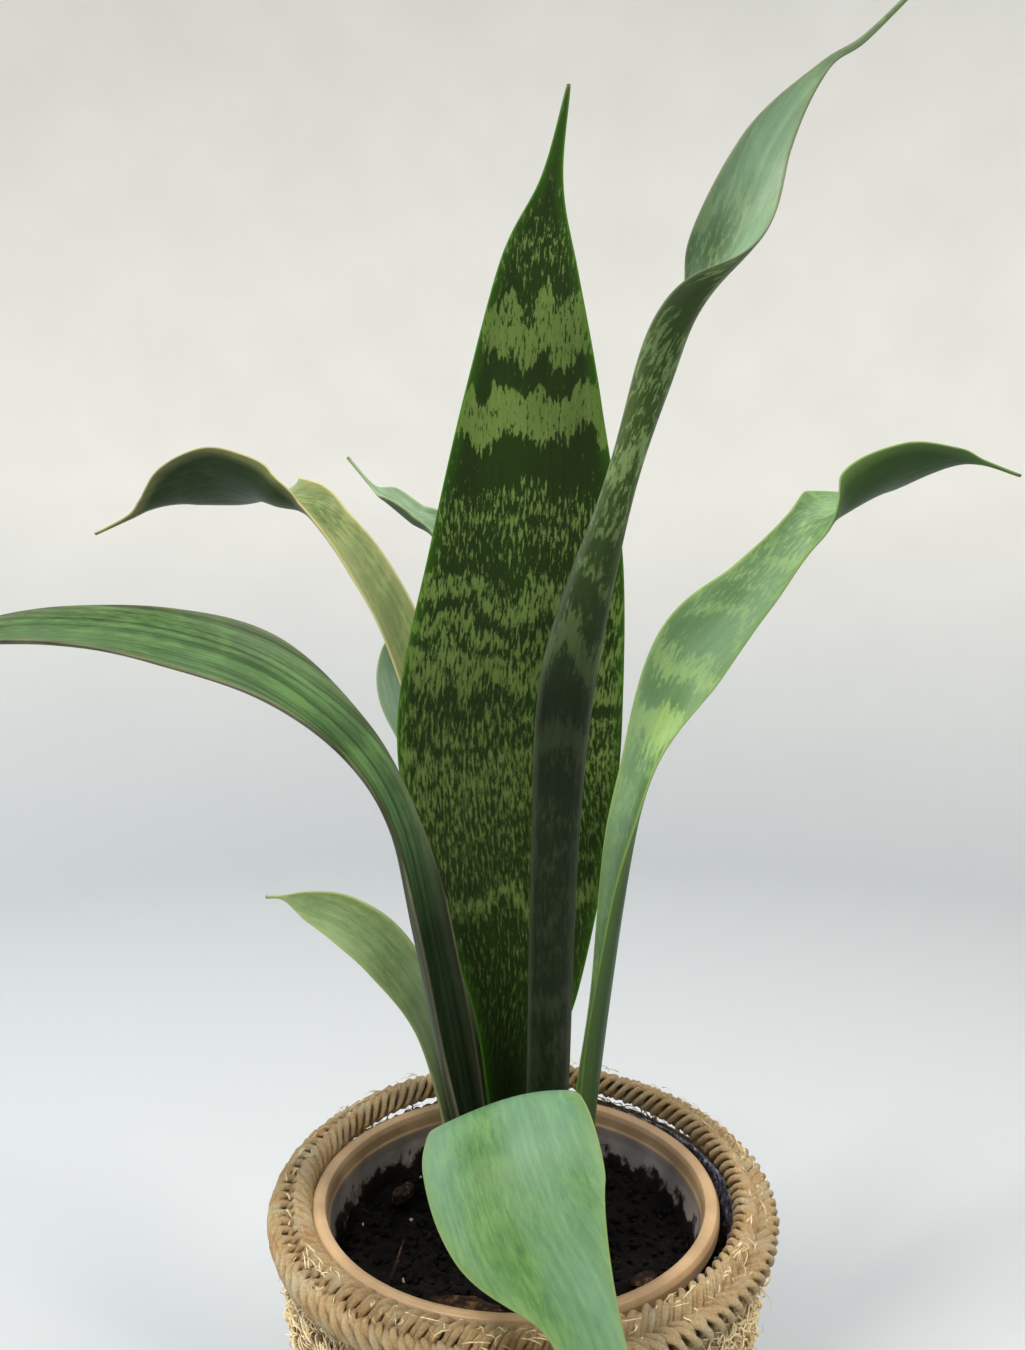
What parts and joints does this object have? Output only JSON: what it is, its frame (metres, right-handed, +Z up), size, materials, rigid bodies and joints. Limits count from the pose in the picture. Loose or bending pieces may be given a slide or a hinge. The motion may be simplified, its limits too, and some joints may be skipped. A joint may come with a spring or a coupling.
{
  "type": "snake plant in a basket pot",
  "caption": "Snake plant with banded, twisting leaves in a plastic nursery pot that lifts out of a film-lined, stitched jute basket.",
  "frame": {"origin": "centre of the basket's underside, on the surface it stands on", "axes": "+Z up; -Y is the side the broad leaf faces; +X to the right seen from there"},
  "size_m": [0.3214, 0.1884, 0.4451],
  "materials": {
    "jute": "matte",
    "liner_film": "gloss",
    "pot_plastic": "satin",
    "potting_mix": "matte",
    "root_flesh": "matte",
    "leaf": "satin",
    "bark": "matte"
  },
  "bodies": {
    "basket": {"basket_base": "jute", "wall_course_1": "jute", "wall_course_2": "jute", "wall_course_3": "jute", "wall_course_4": "jute", "wall_course_5": "jute", "wall_course_6": "jute", "wall_course_7": "jute", "wall_course_8": "jute", "rim_course": "jute", "film_liner": "liner_film"},
    "plant": {"nursery_pot": "pot_plastic", "potting_soil": "potting_mix", "rhizome_and_roots": "root_flesh", "leaf_centre": "leaf", "leaf_tall_right": "leaf", "leaf_right": "leaf", "leaf_left_arch": "leaf", "leaf_back_left": "leaf", "leaf_back_twist": "leaf", "leaf_low_left": "leaf", "leaf_front": "leaf", "bark_chip_front": "bark", "bark_chip_left": "bark", "bark_chip_right": "bark", "dry_twig": "bark"}
  },
  "joints": [
    {"name": "pot_lift", "type": "slide", "parent": "basket", "child": "plant", "axis": [0, 0, 1], "range_m": [0, 0.12]}
  ]
}
